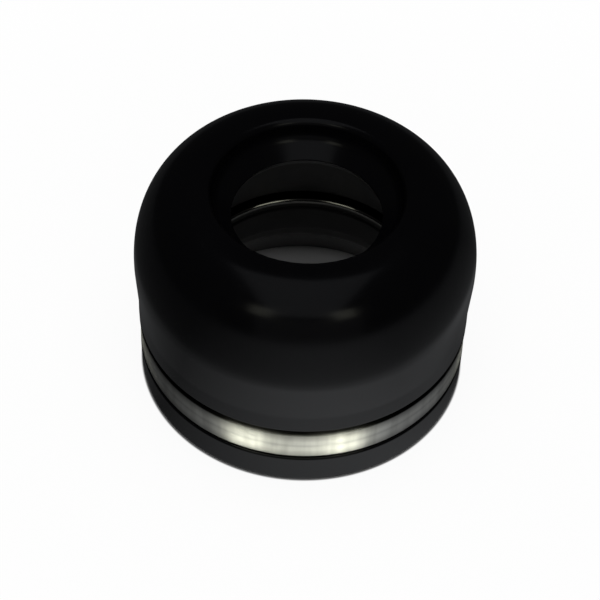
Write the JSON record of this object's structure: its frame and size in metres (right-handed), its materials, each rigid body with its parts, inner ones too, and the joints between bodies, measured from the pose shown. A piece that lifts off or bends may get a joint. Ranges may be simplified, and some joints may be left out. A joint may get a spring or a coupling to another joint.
{
  "type": "valve stem seal",
  "caption": "Round rubber valve stem seal: a domed cap with a funnel-shaped mouth and a straight skirt, held by a polished steel band in a groove near the rim.",
  "frame": {"origin": "on the axis, in the plane of the flat rim that the seal stands on", "axes": "+Z along the axis, from the rim up to the lip; X and Y are any two directions across it"},
  "size_m": [0.0122, 0.0122, 0.0087],
  "materials": {
    "rubber": "black, moulded smooth, semi-gloss",
    "band_steel": "bright polished steel strip with fine lines round it",
    "ring_steel": "plain steel, bare along its inner edge"
  },
  "bodies": {
    "root": {"seal_body": "rubber", "retaining_band": "band_steel", "stiffening_ring": "ring_steel"}
  },
  "joints": []
}
